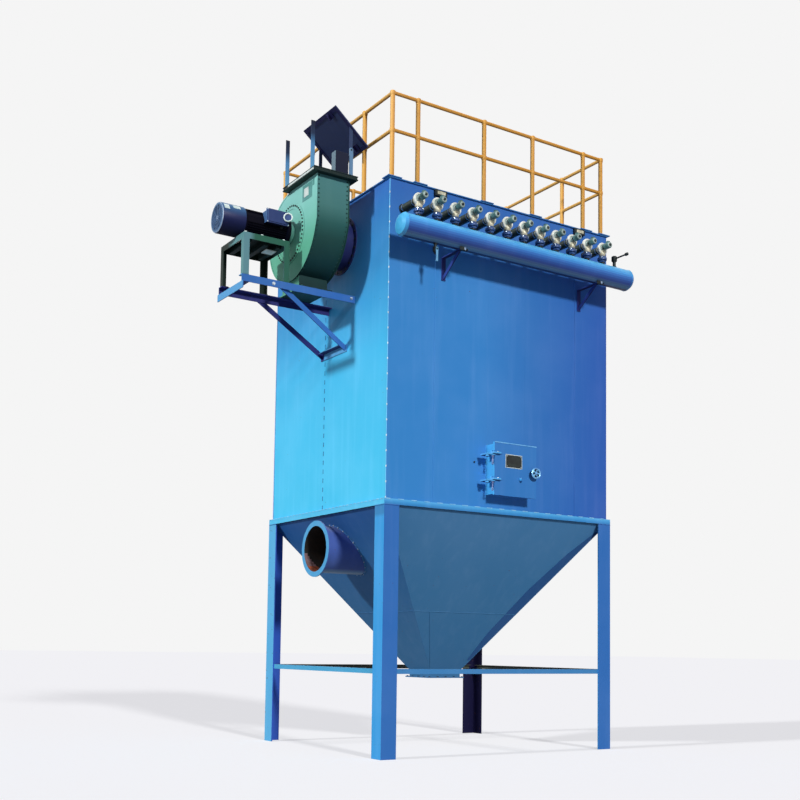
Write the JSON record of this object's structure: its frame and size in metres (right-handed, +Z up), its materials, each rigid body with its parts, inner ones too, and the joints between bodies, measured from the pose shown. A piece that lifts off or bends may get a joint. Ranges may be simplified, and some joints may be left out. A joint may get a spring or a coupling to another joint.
{
  "type": "baghouse dust collector",
  "caption": "Pulse-jet bag filter on four legs: a sheet steel housing over a pyramid hopper, with an air header and valves, roof railing, side fan and inspection door.",
  "frame": {"origin": "on the floor, under the middle of the machine's overall box", "axes": "+Z up, +X along the long side of the housing away from the fan, -Y the front with the air header and the door"},
  "size_m": [4.575, 3.095, 6.9203],
  "materials": {
    "blue_enamel": "satin blue enamel on sheet steel",
    "yellow_enamel": "satin orange-yellow enamel on pipe",
    "cast_aluminium": "cast aluminium, matt",
    "valve_blue": "pale blue valve bodies",
    "plated_steel": "plated steel handwheel",
    "green_enamel": "satin green enamel",
    "navy_enamel": "satin navy enamel"
  },
  "bodies": {
    "machine": {"leg_front_left": "blue_enamel", "leg_front_right": "blue_enamel", "leg_back_left": "blue_enamel", "leg_back_right": "blue_enamel", "brace_front": "blue_enamel", "brace_back": "blue_enamel", "brace_left": "blue_enamel", "brace_right": "blue_enamel", "base_frame": "blue_enamel", "hopper": "blue_enamel", "hopper_outlet": "blue_enamel", "inlet_pipe": "blue_enamel", "left_wall": "blue_enamel", "right_wall": "blue_enamel", "back_wall": "blue_enamel", "front_wall_left": "blue_enamel", "front_wall_right": "blue_enamel", "front_wall_under_door": "blue_enamel", "front_wall_over_door": "blue_enamel", "roof": "blue_enamel", "air_header": "blue_enamel", "header_bracket_left": "blue_enamel", "header_bracket_right": "blue_enamel", "door_frame": "blue_enamel", "fan_inlet_duct": "blue_enamel", "fan_bracket_front": "blue_enamel", "fan_bracket_back": "blue_enamel", "fan_bracket_end": "blue_enamel", "fan_bracket_wall_angle": "blue_enamel", "railing_front": "yellow_enamel", "railing_back": "yellow_enamel", "railing_left": "yellow_enamel", "railing_right": "yellow_enamel", "pulse_valve_01": "cast_aluminium", "pulse_valve_02": "cast_aluminium", "pulse_valve_03": "cast_aluminium", "pulse_valve_04": "cast_aluminium", "pulse_valve_05": "cast_aluminium", "pulse_valve_06": "cast_aluminium", "pulse_valve_07": "cast_aluminium", "pulse_valve_08": "cast_aluminium", "pulse_valve_09": "cast_aluminium", "pulse_valve_10": "cast_aluminium", "pulse_valve_11": "cast_aluminium", "pulse_valve_12": "cast_aluminium", "header_drain": "valve_blue", "header_supply": "valve_blue", "fan_casing": "green_enamel", "fan_outlet_flange": "green_enamel", "motor_stand": "green_enamel", "rain_cap": "navy_enamel", "motor": "navy_enamel", "terminal_box": "navy_enamel"},
    "door": {"door": "blue_enamel"},
    "handwheel": {"door_handwheel": "plated_steel"}
  },
  "joints": [
    {"name": "door_hinge", "type": "hinge", "parent": "machine", "child": "door", "pos_m": [0.4275, -1.1868, 3.03], "axis": [0, 0, -1], "range_deg": [0, 135]},
    {"name": "handwheel_spin", "type": "hinge", "parent": "door", "child": "handwheel", "pos_m": [0.9825, -1.1998, 3.015], "axis": [0, -1, 0], "continuous": true}
  ]
}
